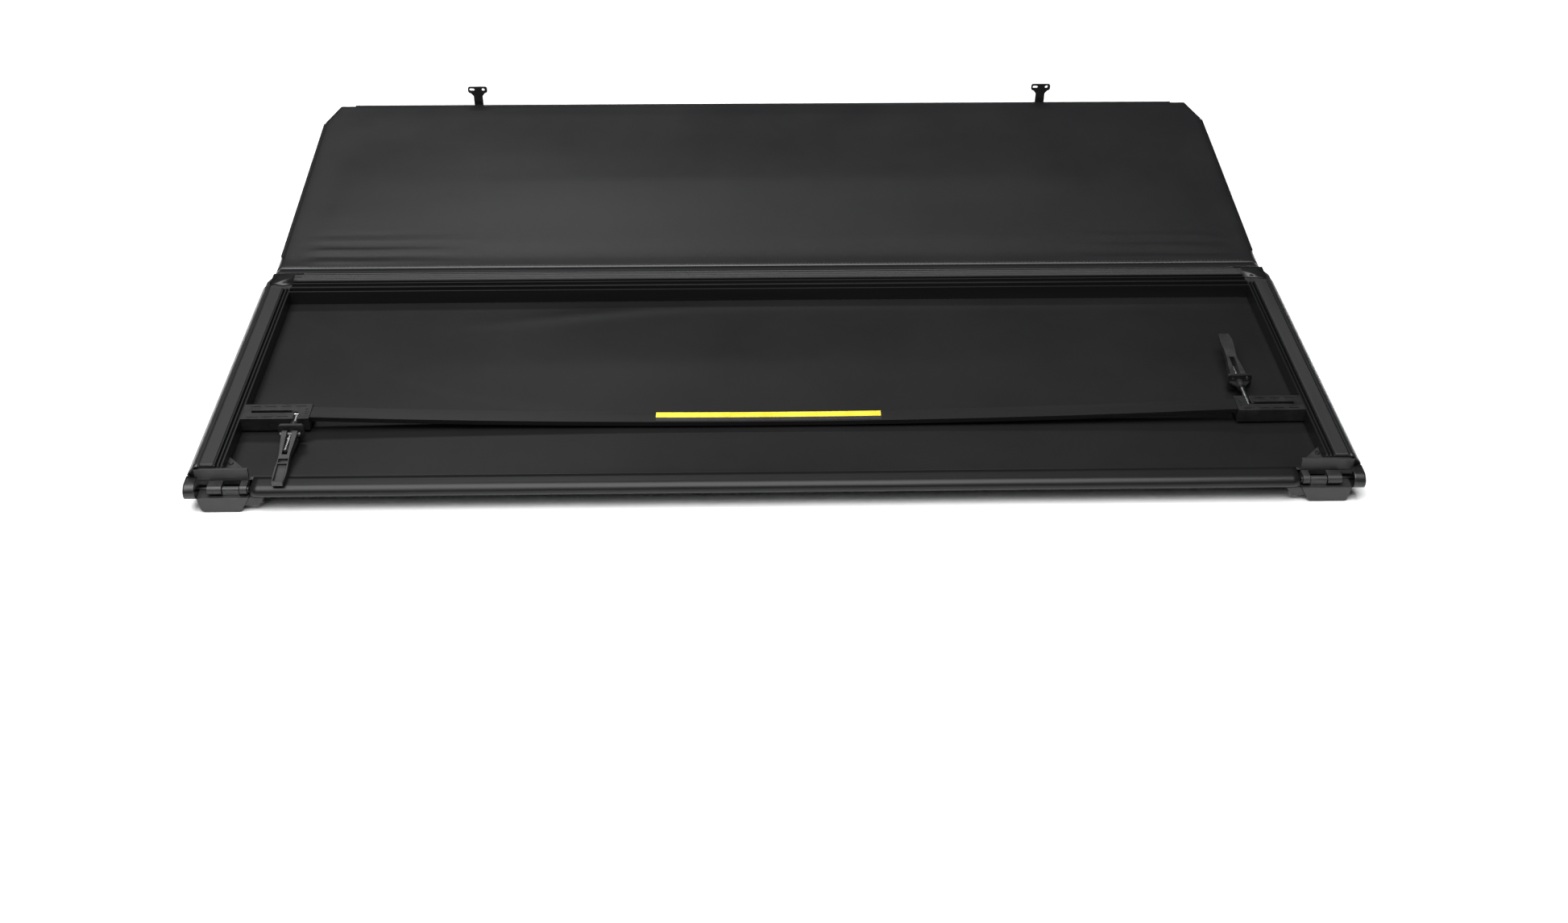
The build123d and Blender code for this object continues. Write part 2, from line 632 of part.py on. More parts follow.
# ---- double hinge between the front and middle panels ----
def link_ears(frame, y_plate, y_pivot, name):
    """End plates plugged into the rails, with an ear on each side of the link."""
    way = 1 if y_pivot > y_plate else -1
    plate = sorted((y_plate, y_plate - way * (END_PLATE_T - SHIM)))
    plug = sorted((y_plate - way * (END_PLATE_T - SHIM), y_plate - way * (END_PLATE_T + TENON_LEN)))
    with BuildPart() as ears:
        block(frame, (HINGE_IN, plate[0], 6.0), (HALF_W - VINYL - SIDE_LEAN, plate[1], RAIL_TOP - SHIM))
        rail_plug(frame, *plug)
        for x in (LINK_IN - LINK_EAR - 1.0, LINK_OUT + 1.0):
            rod(frame, x, x + LINK_EAR, y_pivot, LINK_Z, LINK_R)
            y_arm = sorted((y_plate, y_pivot))
            block(frame, (x, y_arm[0], LINK_Z - LINK_R), (x + LINK_EAR, y_arm[1], LINK_Z + LINK_R))
            rod(frame, x, x + LINK_EAR, y_pivot, LINK_Z, PIN_R + PIN_PLAY, Mode.SUBTRACT)
        mirror(about=Plane.YZ)
    save(ears, name)


link_ears(middle, MIDDLE_END + END_PLATE_T, LINK_Y, "middle_link_ears")
link_ears(front, FRONT_START, 0, "front_link_ears")


def link(side, name):
    """Flat bar with a bored boss at each pivot."""
    low, high = sorted((side * LINK_IN, side * LINK_OUT))
    with BuildPart() as bar:
        with BuildSketch(along(middle, low)):
            patch((LINK_Y, LINK_Z - LINK_R), (front_pivot_y, LINK_Z + LINK_R))
            with Locations((LINK_Y, LINK_Z), (front_pivot_y, LINK_Z)):
                Circle(LINK_R)
                Circle(PIN_R + PIN_PLAY, mode=Mode.SUBTRACT)
        extrude(amount=high - low)
        block(
            middle,
            (low + 6.0, LINK_Y + 12.0, LINK_Z - LINK_R),
            (high - 6.0, front_pivot_y - 12.0, LINK_Z + 1.0),
            Mode.SUBTRACT,
        )
    save(bar, name)


link(-1, "left_link")
link(1, "right_link")

for pivot_y, name in ((LINK_Y, "middle_link_pins"), (front_pivot_y, "front_link_pins")):
    with BuildPart() as link_pins:
        rod(middle, LINK_IN - LINK_EAR - 2.0, LINK_OUT + LINK_EAR + 2.0, pivot_y, LINK_Z, PIN_R)
        mirror(about=Plane.YZ)
    save(link_pins, name)


# ---- rear clamps ----
def clamp_frame(side):
    """Frame of one clamp: origin on the bolt's cross bar, y along the bolt, z to the lever's top."""
    origin = tail.from_local_coords(Vector(side * CLAMP_X, -TAIL_BOW_Y, bolt_z))
    return Plane(origin=origin, x_dir=(1, 0, 0), z_dir=-tail.z_dir if side > 0 else tail.z_dir)


def lever_frame(side, word):
    """Frame of a lever: origin on its barrel, y along its handle."""
    clamp = clamp_frame(side)
    origin = clamp.from_local_coords(Vector(0, BARREL_AT[word], 0))
    angle = radians(LEVER_SLOPE)
    up = clamp.z_dir * cos(angle) - clamp.y_dir * sin(angle)
    return Plane(origin=origin, x_dir=(1, 0, 0), z_dir=up)


LEVER_SLOT = 7.2
LEVER_SLOT_END = 47.0
POCKET_FROM = 55.0
POCKET_RIB = 63.0
POCKET_W = 13.0
POCKET_WALL = 2.5
JAW_GAP = CAM_R - CAM_OFFSET + FIT  # jaw face to barrel axis with the lever open

for side, word in ((-1, "left"), (1, "right")):
    clamp = clamp_frame(side)
    lever_plane = lever_frame(side, word)
    barrel_y = BARREL_AT[word]

    with BuildPart() as bolt:
        rod(clamp, -BOLT_BAR / 2, BOLT_BAR / 2, 0, 0, BOLT_R)
        with BuildSketch(across(clamp, 0)):
            Circle(BOLT_R)
        extrude(amount=-max(BOLT_LEN, barrel_y + 30.0))
    save(bolt, f"{word}_clamp_bolt")

    with BuildPart() as barrel:
        rod(clamp, -BARREL_LEN / 2, BARREL_LEN / 2, barrel_y, 0, BARREL_R)
        with BuildSketch(across(clamp, barrel_y - BARREL_R - 1)):
            Circle(BOLT_R)
        extrude(amount=-2 * BARREL_R - 2, mode=Mode.SUBTRACT)
    save(barrel, f"{word}_clamp_barrel")

    nut_y = barrel_y + BARREL_R + 6.0
    with BuildPart() as nut:
        with BuildSketch(across(clamp, nut_y)):
            RegularPolygon(radius=3.3, side_count=6, major_radius=True)
            Circle(BOLT_R, mode=Mode.SUBTRACT)
        extrude(amount=-4.0)
    save(nut, f"{word}_clamp_nut")

    jaw_face = barrel_y - JAW_GAP
    with BuildPart() as jaw:
        with BuildSketch(across(clamp, jaw_face)):
            RectangleRounded(JAW_W, JAW_H, 4.0)
            for x in (-JAW_W / 4 - 1.5, JAW_W / 4 + 1.5):
                with Locations((x, JAW_H / 4 + 1.0)):
                    Circle(2.6, mode=Mode.SUBTRACT)
        extrude(amount=JAW_T)
        with BuildSketch(across(clamp, jaw_face - JAW_T)):
            Circle(JAW_HUB_R)
        extrude(amount=JAW_HUB_LEN)
        for x_side in (-1, 1):
            with BuildSketch(level(clamp, -1.2)):
                Polygon(
                    (x_side * (JAW_W / 2 - 2.0), jaw_face - JAW_T),
                    (x_side * (JAW_HUB_R - 1.5), jaw_face - JAW_T),
                    (x_side * (JAW_HUB_R - 1.5), jaw_face - JAW_T - JAW_HUB_LEN + 2.0),
                    align=None,
                )
            extrude(amount=2.4)
        with BuildSketch(across(clamp, jaw_face + 1.0)):
            Circle(BOLT_R + FIT)
        extrude(amount=JAW_T + JAW_HUB_LEN + 2.0, mode=Mode.SUBTRACT)
    save(jaw, f"{word}_clamp_jaw")

    with BuildPart() as lever:
        # plan of the handle, cut back to its side profile
        with BuildSketch(level(lever_plane, -CAM_R - 2)):
            with BuildLine():
                half, waist = LEVER_W / 2, LEVER_WAIST / 2
                Polyline((waist, LEVER_REACH), (-waist, LEVER_REACH))
                for s in (-1, 1):
                    Spline(
                        (s * waist, LEVER_REACH),
                        (s * (half - 1.5), LEVER_REACH - 18.0),
                        (s * (waist + 0.5), LEVER_SLOT_END + 2.0),
                        (s * half, 12.0),
                        (s * half, -CAM_R - 1),
                    )
                Polyline((-half, -CAM_R - 1), (half, -CAM_R - 1))
            make_face()
        extrude(amount=2 * CAM_R + 8)
        with BuildSketch(along(lever_plane, -LEVER_W)):
            with Locations((CAM_OFFSET, 0)):
                Circle(CAM_R)
            with BuildLine():
                Polyline((CAM_OFFSET, CAM_R), (CAM_OFFSET, -CAM_R), (LEVER_SLOT_END, -LEVER_T / 2))
                ThreePointArc(
                    (LEVER_SLOT_END, -LEVER_T / 2),
                    (LEVER_REACH * 0.72, -LEVER_T / 2 + 1.6),
                    (LEVER_REACH, -LEVER_T / 2 + 0.6),
                )
                Line((LEVER_REACH, -LEVER_T / 2 + 0.6), (LEVER_REACH, LEVER_T / 2 - 1.4))
                ThreePointArc(
                    (LEVER_REACH, LEVER_T / 2 - 1.4),
                    (LEVER_REACH * 0.72, LEVER_T / 2 + 1.6),
                    (LEVER_SLOT_END, LEVER_T / 2 + 0.6),
                )
                Line((LEVER_SLOT_END, LEVER_T / 2 + 0.6), (CAM_OFFSET, CAM_R))
            make_face()
        extrude(amount=2 * LEVER_W, mode=Mode.INTERSECT)
        rod(lever_plane, -LEVER_W, LEVER_W, 0, 0, BARREL_R + PIN_PLAY, Mode.SUBTRACT)
        block(
            lever_plane,
            (-LEVER_SLOT / 2, -CAM_R - 1, -CAM_R - 2),
            (LEVER_SLOT / 2, LEVER_SLOT_END, CAM_R + 2),
            Mode.SUBTRACT,
        )
        pocket_floor = LEVER_T / 2 - POCKET_WALL
        for y_from, y_to in ((POCKET_FROM, POCKET_RIB), (POCKET_RIB + 2, LEVER_REACH - 5)):
            block(
                lever_plane,
                (-POCKET_W / 2, y_from, -CAM_R),
                (POCKET_W / 2, y_to, pocket_floor),
                Mode.SUBTRACT,
            )
    save(lever, f"{word}_clamp_lever")


# ---- cab hooks ----
HOOK_EAR = 5.0
EAR_X = HOOK_NECK_W / 2 + FIT
with BuildPart() as cab_hook_brackets:
    for x in HOOK_AT.values():
        ear = EAR_X + HOOK_EAR
        block(
            front,
            (x - ear, FRONT_LENGTH - SEAL_FROM + 1.0, TUCK_Z - HOOK_T - SHIM),
            (x + ear, FRONT_LENGTH + 1.5, TUCK_Z - SHIM),
        )
        for s in (-1, 1):
            x_from, x_to = sorted((x + s * EAR_X, x + s * ear))
            rod(front, x_from, x_to, hook_y, HOOK_PIVOT_Z, HOOK_KNUCKLE_R)
            block(
                front,
                (x_from, FRONT_LENGTH + SHIM, TUCK_Z - HOOK_T - SHIM),
                (x_to, hook_y, HOOK_PIVOT_Z + HOOK_KNUCKLE_R),
            )
            rod(front, x_from, x_to, hook_y, HOOK_PIVOT_Z, HOOK_PIN_R + PIN_PLAY, Mode.SUBTRACT)
save(cab_hook_brackets, "cab_hook_brackets")

with BuildPart() as cab_hook_pins:
    for x in HOOK_AT.values():
        reach = EAR_X + HOOK_EAR + 1.0
        rod(front, x - reach, x + reach, hook_y, HOOK_PIVOT_Z, HOOK_PIN_R)
save(cab_hook_pins, "cab_hook_pins")

hook_top = PANEL_T + HOOK_TOP
head_z = hook_top - HOOK_HEAD_H / 2
for word, x in HOOK_AT.items():
    with BuildPart() as hook:
        with BuildSketch(across(front, hook_y + HOOK_T / 2)):
            neck = HOOK_NECK_W / 2
            with Locations((x, (HOOK_PIVOT_Z + head_z) / 2)):
                Rectangle(HOOK_NECK_W, head_z - HOOK_PIVOT_Z)
            with Locations((x, head_z)):
                RectangleRounded(HOOK_HEAD_W, HOOK_HEAD_H, 4.5)
            with Locations((x, head_z - HOOK_HEAD_H / 2)):
                Trapezoid(HOOK_NECK_W + 10, 6.0, 50, rotation=180, align=(Align.CENTER, Align.MIN))
            with Locations((x - 10.5, head_z + 0.8)):
                SlotOverall(9.5, 5.2, mode=Mode.SUBTRACT)
            with Locations((x + 10.5, head_z + 0.8)):
                Circle(2.8, mode=Mode.SUBTRACT)
        extrude(amount=HOOK_T)
        rod(front, x - neck, x + neck, hook_y, HOOK_PIVOT_Z, HOOK_KNUCKLE_R - 0.4)
        rod(front, x - neck, x + neck, hook_y, HOOK_PIVOT_Z, HOOK_PIN_R + PIN_PLAY, Mode.SUBTRACT)
    save(hook, f"{word}_cab_hook")

# ---- plain bow strip ----
strip_y = -TAIL_BOW_Y
strip_reach = bracket_in + BOW_ENTRY
inner_r = (strip_reach**2 + BOW_RISE**2) / (2 * BOW_RISE) - BOW_T
with BuildPart() as bow_strip:
    with BuildSketch(across(tail, strip_y + STRIP_W / 2)):
        with Locations((0, RAIL_TOP - SHIM - BOW_T - inner_r)):
            Circle(inner_r)
            Circle(inner_r - 0.4, mode=Mode.SUBTRACT)
        patch((STRIP_X - STRIP_LEN / 2, 0), (STRIP_X + STRIP_LEN / 2, PANEL_T), Mode.INTERSECT)
    extrude(amount=STRIP_W)
save(bow_strip, "bow_strip")

# ---- screws ----
gusset_screw_y = plate_start - 4.0
with BuildPart() as hinge_screws:
    for x, y in ((RAIL_IN - 5.0, gusset_screw_y - 18.0), (RAIL_IN - 20.0, gusset_screw_y)):
        with BuildSketch(level(tail, GUSSET_Z - SCREW_H)):
            with Locations((x, y)):
                Circle(SCREW_R)
        extrude(amount=SCREW_H)
    mirror(about=Plane.YZ)
save(hinge_screws, "hinge_screws")

corner_face = TUCK_Z + VINYL + SHIM
for frame, y, name in (
    (tail, -TAIL_LENGTH + TUCK + 26.0, "tail_corner_screws"),
    (front, FRONT_LENGTH - TUCK - 26.0, "front_corner_screws"),
):
    with BuildPart() as corner_screws:
        with BuildSketch(level(frame, corner_face - SCREW_H)):
            with Locations((RAIL_IN + 12.0, y)):
                Circle(SCREW_R)
        extrude(amount=SCREW_H)
        mirror(about=Plane.YZ)
    save(corner_screws, name)
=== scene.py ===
import json
import math

import bmesh
import bpy
from mathutils import Matrix, Vector, noise


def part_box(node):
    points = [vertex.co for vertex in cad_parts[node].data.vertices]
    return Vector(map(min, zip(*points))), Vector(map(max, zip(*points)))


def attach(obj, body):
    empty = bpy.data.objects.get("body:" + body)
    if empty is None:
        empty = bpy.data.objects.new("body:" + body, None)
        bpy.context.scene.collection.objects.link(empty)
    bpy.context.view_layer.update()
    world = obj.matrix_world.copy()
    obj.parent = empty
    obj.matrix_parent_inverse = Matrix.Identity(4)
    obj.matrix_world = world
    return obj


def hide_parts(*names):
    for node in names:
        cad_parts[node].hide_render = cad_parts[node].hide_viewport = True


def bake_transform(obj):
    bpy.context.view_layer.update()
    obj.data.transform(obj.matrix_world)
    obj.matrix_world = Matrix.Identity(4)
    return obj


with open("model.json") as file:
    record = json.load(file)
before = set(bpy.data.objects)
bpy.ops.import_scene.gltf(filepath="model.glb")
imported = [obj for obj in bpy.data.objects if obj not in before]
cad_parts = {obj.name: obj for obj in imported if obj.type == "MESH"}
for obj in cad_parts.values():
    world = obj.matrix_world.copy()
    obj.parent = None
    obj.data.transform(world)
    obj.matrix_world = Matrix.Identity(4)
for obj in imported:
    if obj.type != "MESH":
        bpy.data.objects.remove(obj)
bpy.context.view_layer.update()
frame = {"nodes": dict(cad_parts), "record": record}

# ---- the room ----
# A pale seamless floor under large soft boxes: one overhead, one low behind on the left.
# The cover lies folded side towards the camera, which looks down on it.
joints = {joint["name"]: joint for joint in frame["record"]["behaviour"]["joints"]}
fold_point = Vector(joints["tail_fold"]["pos_m"])

SENSOR_WIDTH = 36.0
LENS = 42.86
CAMERA_ASIDE = -0.052
CAMERA_BACK = 2.086
CAMERA_HIGH = 1.597
CAMERA_TURN = (1.64, 36.17, 0.42)
bpy.context.scene.view_settings.view_transform = "Standard"
camera_data = bpy.data.cameras.new("camera")
camera_data.sensor_width = SENSOR_WIDTH
camera_data.lens = LENS
camera = bpy.data.objects.new("camera", camera_data)
bpy.context.scene.collection.objects.link(camera)
bpy.context.scene.camera = camera
yaw, pitch, roll = (math.radians(degrees) for degrees in CAMERA_TURN)
ahead = Vector((math.sin(yaw) * math.cos(pitch), math.cos(yaw) * math.cos(pitch), -math.sin(pitch)))
level_right = ahead.cross(Vector((0, 0, 1))).normalized()
level_up = level_right.cross(ahead)
right = level_right * math.cos(roll) + level_up * math.sin(roll)
up = right.cross(ahead)
place = Matrix((right, up, -ahead)).transposed().to_4x4()
place.translation = Vector((CAMERA_ASIDE, fold_point.y - CAMERA_BACK, CAMERA_HIGH))
camera.matrix_world = place

SKY = (0.80, 0.88, 1.0, 1.0)
SKY_STRENGTH = 0.035
world = bpy.data.worlds.new("studio")
world.use_nodes = True
background = world.node_tree.nodes["Background"]
background.inputs["Color"].default_value = SKY
background.inputs["Strength"].default_value = SKY_STRENGTH
bpy.context.scene.world = world


def soft_box(name, at, aim, size, power):
    """Large rectangular lamp pointed at a spot."""
    lamp = bpy.data.lights.new(name, "AREA")
    lamp.shape = "RECTANGLE"
    lamp.size, lamp.size_y = size
    lamp.energy = power
    holder = bpy.data.objects.new(name, lamp)
    bpy.context.scene.collection.objects.link(holder)
    holder.location = at
    holder.rotation_euler = (Vector(aim) - Vector(at)).to_track_quat("-Z", "Y").to_euler()


soft_box("overhead_box", (-0.6, -1.0, 4.0), (-0.2, 0, 0), (4.8, 3.8), 430)
soft_box("back_left_box", (-1.9, 3.6, 3.9), (-0.3, 0, 0), (3.0, 0.7), 22)
soft_box("back_strip", (0.1, 4.4, 4.3), (0.1, 0, 0), (3.4, 0.35), 13)
soft_box("front_box", (-1.6, -3.6, 3.2), (0, -0.3, 0), (2.4, 1.2), 22)

PALE = (0.94, 0.94, 0.94, 1.0)
FLOOR_HALF = 12.0
floor_mesh = bpy.data.meshes.new("floor")
floor_work = bmesh.new()
bmesh.ops.create_grid(floor_work, x_segments=1, y_segments=1, size=FLOOR_HALF)
floor_work.to_mesh(floor_mesh)
floor_work.free()
floor = bpy.data.objects.new("floor", floor_mesh)
bpy.context.scene.collection.objects.link(floor)
floor_paint = bpy.data.materials.new("pale_floor")
floor_paint.use_nodes = True
shader = floor_paint.node_tree.nodes["Principled BSDF"]
shader.inputs["Base Color"].default_value = PALE
shader.inputs["Roughness"].default_value = 0.9
floor_mesh.materials.append(floor_paint)


# ---- vinyl cloth ----
# Black PVC coated on a polyester knit: a pebbled satin face outside, a finer matt back inside.
# Both faces keep faint large patches where the sheet was handled.
def shader_group(name, inputs, outputs):
    """An empty node group with named float or vector sockets."""
    group = bpy.data.node_groups.new(name, "ShaderNodeTree")
    for socket, kind in inputs:
        group.interface.new_socket(socket, in_out="INPUT", socket_type=kind)
    for socket, kind in outputs:
        group.interface.new_socket(socket, in_out="OUTPUT", socket_type=kind)
    return group, group.nodes.new("NodeGroupInput"), group.nodes.new("NodeGroupOutput")


pebble, pebble_in, pebble_out = shader_group(
    "pebble",
    [("Scale", "NodeSocketFloat"), ("Stretch", "NodeSocketVector"), ("Fine", "NodeSocketFloat")],
    [("Height", "NodeSocketFloat")],
)
spot = pebble.nodes.new("ShaderNodeTexCoord")
stretched = pebble.nodes.new("ShaderNodeVectorMath")
stretched.operation = "MULTIPLY"
cells = pebble.nodes.new("ShaderNodeTexVoronoi")
speck = pebble.nodes.new("ShaderNodeTexNoise")
speck.inputs["Detail"].default_value = 3.0
speck_scale = pebble.nodes.new("ShaderNodeMath")
speck_scale.operation = "MULTIPLY"
speck_scale.inputs[1].default_value = 2.3
blend_in = pebble.nodes.new("ShaderNodeMix")
pebble.links.new(spot.outputs["Object"], stretched.inputs[0])
pebble.links.new(pebble_in.outputs["Stretch"], stretched.inputs[1])
pebble.links.new(stretched.outputs[0], cells.inputs["Vector"])
pebble.links.new(stretched.outputs[0], speck.inputs["Vector"])
pebble.links.new(pebble_in.outputs["Scale"], cells.inputs["Scale"])
pebble.links.new(pebble_in.outputs["Scale"], speck_scale.inputs[0])
pebble.links.new(speck_scale.outputs[0], speck.inputs["Scale"])
pebble.links.new(pebble_in.outputs["Fine"], blend_in.inputs["Factor"])
pebble.links.new(cells.outputs["Distance"], blend_in.inputs["A"])
pebble.links.new(speck.outputs["Fac"], blend_in.inputs["B"])
pebble.links.new(blend_in.outputs["Result"], pebble_out.inputs["Height"])

patches, patches_in, patches_out = shader_group(
    "patches",
    [
        ("Scale", "NodeSocketFloat"),
        ("Stretch", "NodeSocketVector"),
        ("Low", "NodeSocketFloat"),
        ("High", "NodeSocketFloat"),
    ],
    [("Mask", "NodeSocketFloat"), ("Roughness", "NodeSocketFloat")],
)
spot = patches.nodes.new("ShaderNodeTexCoord")
stretched = patches.nodes.new("ShaderNodeVectorMath")
stretched.operation = "MULTIPLY"
cloud = patches.nodes.new("ShaderNodeTexNoise")
cloud.inputs["Detail"].default_value = 5.0
cloud.inputs["Roughness"].default_value = 0.62
spread = patches.nodes.new("ShaderNodeMapRange")
spread.inputs["From Min"].default_value = 0.32
spread.inputs["From Max"].default_value = 0.70
sheen_range = patches.nodes.new("ShaderNodeMapRange")
patches.links.new(spot.outputs["Object"], stretched.inputs[0])
patches.links.new(patches_in.outputs["Stretch"], stretched.inputs[1])
patches.links.new(stretched.outputs[0], cloud.inputs["Vector"])
patches.links.new(patches_in.outputs["Scale"], cloud.inputs["Scale"])
patches.links.new(cloud.outputs["Fac"], spread.inputs["Value"])
patches.links.new(spread.outputs["Result"], patches_out.inputs["Mask"])
patches.links.new(spread.outputs["Result"], sheen_range.inputs["Value"])
patches.links.new(patches_in.outputs["Low"], sheen_range.inputs["To Min"])
patches.links.new(patches_in.outputs["High"], sheen_range.inputs["To Max"])
patches.links.new(sheen_range.outputs["Result"], patches_out.inputs["Roughness"])


def finish(
    name, dark, light, rough, patch, grain, depth, fine=0.4, stretch=(1, 1, 1), metal=0.0, specular=0.5
):
    """Material with patchy colour and roughness and a bumped grain.

    patch and grain are counts per metre, depth is the grain's height in metres.
    """
    made = bpy.data.materials.new(name)
    made.use_nodes = True
    tree = made.node_tree
    shader = tree.nodes["Principled BSDF"]
    shader.inputs["Metallic"].default_value = metal
    shader.inputs["Specular IOR Level"].default_value = specular
    worn = tree.nodes.new("ShaderNodeGroup")
    worn.node_tree = patches
    worn.inputs["Scale"].default_value = patch
    worn.inputs["Stretch"].default_value = stretch
    worn.inputs["Low"].default_value, worn.inputs["High"].default_value = rough
    tint = tree.nodes.new("ShaderNodeMix")
    tint.data_type = "RGBA"
    tint.inputs["A"].default_value = (*dark, 1.0)
    tint.inputs["B"].default_value = (*light, 1.0)
    grained = tree.nodes.new("ShaderNodeGroup")
    grained.node_tree = pebble
    grained.inputs["Scale"].default_value = grain
    grained.inputs["Stretch"].default_value = stretch
    grained.inputs["Fine"].default_value = fine
    bump = tree.nodes.new("ShaderNodeBump")
    bump.inputs["Strength"].default_value = 1.0
    bump.inputs["Distance"].default_value = depth
    tree.links.new(worn.outputs["Mask"], tint.inputs["Factor"])
    tree.links.new(tint.outputs["Result"], shader.inputs["Base Color"])
    tree.links.new(worn.outputs["Roughness"], shader.inputs["Roughness"])
    tree.links.new(grained.outputs["Height"], bump.inputs["Height"])
    tree.links.new(bump.outputs["Normal"], shader.inputs["Normal"])
    return made


vinyl_face = finish(
    "vinyl_face",
    (0.0075, 0.0075, 0.008),
    (0.010, 0.010, 0.0104),
    rough=(0.33, 0.37),
    patch=5.0,
    grain=900.0,
    depth=0.00012,
    specular=0.40,
)
vinyl_back = finish(
    "vinyl_back",
    (0.007, 0.007, 0.0072),
    (0.009, 0.009, 0.0093),
    rough=(0.31, 0.35),
    patch=5.0,
    grain=1600.0,
    depth=0.00004,
    fine=0.6,
    specular=0.22,
)


def piece(name, work, *materials):
    """Turns a finished bmesh into a linked object."""
    mesh = bpy.data.meshes.new(name)
    work.to_mesh(mesh)
    work.free()
    for one in materials:
        mesh.materials.append(one)
    made = bpy.data.objects.new(name, mesh)
    bpy.context.scene.collection.objects.link(made)
    return made


# ---- vinyl stretched over the panels ----
# One sheet covers the three panels. It is pulled over each panel's rails and bow, rolled round
# the outer edges and held by a tuck under them. Here it is cut in three at its hinge lines.
VINYL_T = 0.0014
EDGE_ROUND = 0.011
UNDER_ROUND = 0.005
TUCK = 0.016
SIDE_LEAN = 0.008
BEND = 0.007
GRID = 0.009
FACE_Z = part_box("middle_skin")[1].z
UNDER_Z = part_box("middle_skin")[0].z
HALF_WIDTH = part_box("middle_skin")[1].x
fold_y = fold_point.y
link_point = Vector(joints["link_fold"]["pos_m"])
front_point = Vector(joints["front_fold"]["pos_m"])
tail_turn = math.radians(joints["tail_fold"]["range_deg"][1])
front_turn = math.radians(90.0 - joints["front_fold"]["range_deg"][1])
link_middle = (link_point.y + front_point.y) / 2


def smooth(value):
    """Soft step from 0 to 1."""
    value = min(max(value, 0.0), 1.0)
    return value * value * (3 - 2 * value)


def hem(work, edges, steps):
    """Rolls a flat sheet's rim: each step moves the new rim out in plan and down."""
    edges = set(edges)
    lean = {}
    for vert in {vert for edge in edges for vert in edge.verts}:
        outward = []
        for edge in vert.link_edges:
            if edge in edges:
                run = edge.other_vert(vert).co - vert.co
                normal = Vector((run.y, -run.x, 0)).normalized()
                away = (edge.verts[0].co + edge.verts[1].co) / 2 - edge.link_faces[0].calc_center_median()
                outward.append(normal if normal.dot(away) > 0 else -normal)
        lean[vert] = outward[0]
        if len(outward) == 2:
            lean[vert] = (outward[0] + outward[1]) / (1 + outward[0].dot(outward[1]))
    for out, down in steps:
        made = bmesh.ops.extrude_edge_only(work, edges=list(edges))["geom"]
        rim = {item for item in made if isinstance(item, bmesh.types.BMVert)}
        moved = {}
        for vert in rim:
            for edge in vert.link_edges:
                before = edge.other_vert(vert)
                if before in lean and before not in rim:
                    moved[vert] = lean[before]
        for vert, direction in moved.items():
            vert.co += direction * out + Vector((0, 0, -down))
        lean = moved
        made_edges = {item for item in made if isinstance(item, bmesh.types.BMEdge)}
        edges = {edge for edge in made_edges if rim.issuperset(edge.verts)}


def rim_steps(tuck):
    """Over the rail's edge, down its side, round under it and in again."""
    steps = []
    for i in range(6):
        a, b = math.radians(15 * i), math.radians(15 * (i + 1))
        steps.append((EDGE_ROUND * (math.sin(b) - math.sin(a)), EDGE_ROUND * (math.cos(a) - math.cos(b))))
    leaning = FACE_Z - UNDER_Z - EDGE_ROUND - UNDER_ROUND
    steps += [(-SIDE_LEAN / 3, leaning / 3)] * 3
    for i in range(4):
        a, b = math.radians(22.5 * i), math.radians(22.5 * (i + 1))
        steps.append((UNDER_ROUND * (math.cos(b) - math.cos(a)), UNDER_ROUND * (math.sin(b) - math.sin(a))))
    steps += [(-(tuck - UNDER_ROUND - SIDE_LEAN) / 2, 0.0)] * 2
    return steps


def panel_sheet(y_low, y_high, closed, cut):
    """Flat sheet of one panel with its free sides rolled under.

    closed is -1 or 1 for the end that is rolled too, with its two corners cut off, or 0 for none.
    """
    low = y_low + (EDGE_ROUND if closed < 0 else 0.0)
    high = y_high - (EDGE_ROUND if closed > 0 else 0.0)
    half = HALF_WIDTH - EDGE_ROUND
    work = bmesh.new()
    bmesh.ops.create_grid(
        work, x_segments=round(2 * half / GRID), y_segments=round((high - low) / GRID), size=0.5
    )
    bmesh.ops.scale(work, vec=(2 * half, high - low, 1), verts=work.verts)
    bmesh.ops.translate(work, vec=(0, (low + high) / 2, FACE_Z), verts=work.verts)
    if closed:
        end = high if closed > 0 else low
        for side in (-1, 1):
            bmesh.ops.bisect_plane(
                work,
                geom=[*work.verts, *work.edges, *work.faces],
                dist=1e-5,
                plane_co=(side * half, end - closed * cut[1], 0),
                plane_no=(side * cut[1], closed * cut[0], 0),
                clear_outer=True,
            )
    open_ends = [y for y, shut in ((low, closed < 0), (high, closed > 0)) if not shut]

    def stays_flat(edge):
        return any(all(abs(vert.co.y - y) < 1e-6 for vert in edge.verts) for y in open_ends)

    hem(work, [edge for edge in work.edges if edge.is_boundary and not stays_flat(edge)], rim_steps(TUCK))
    return work


def tent(y, ridge, low, high):
    """Rise of stretched vinyl between two rails and the bow that holds it up."""
    reach = (ridge - low) if y < ridge else (high - ridge)
    return max(0.0, 1 - (math.hypot(y - ridge, 0.016) - 0.016) / reach)


def crown(x):
    """1 on the middle line, falling to 0 at the rails."""
    return max(0.0, 1 - (x / (HALF_WIDTH - 0.05)) ** 2)


def inside(x, y, low, high):
    """1 well inside a panel, 0 over its rails."""
    across = smooth((HALF_WIDTH - 0.035 - abs(x)) / 0.05)
    return across * smooth((y - low) / 0.05) * smooth((high - y) / 0.05)


def sheet_finish(made):
    """Gives a sheet its thickness inwards, with the knitted back on the inner face."""
    skin = made.modifiers.new("thickness", "SOLIDIFY")
    skin.thickness = VINYL_T
    skin.offset = -1.0
    skin.material_offset = 1
    for face in made.data.polygons:
        face.use_smooth = True


# middle panel, from the fold to half way along the link
MIDDLE_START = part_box("middle_skin")[0].y
middle_bow_y = sum(corner.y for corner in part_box("middle_bow")) / 2
MIDDLE_RISE = 0.0075


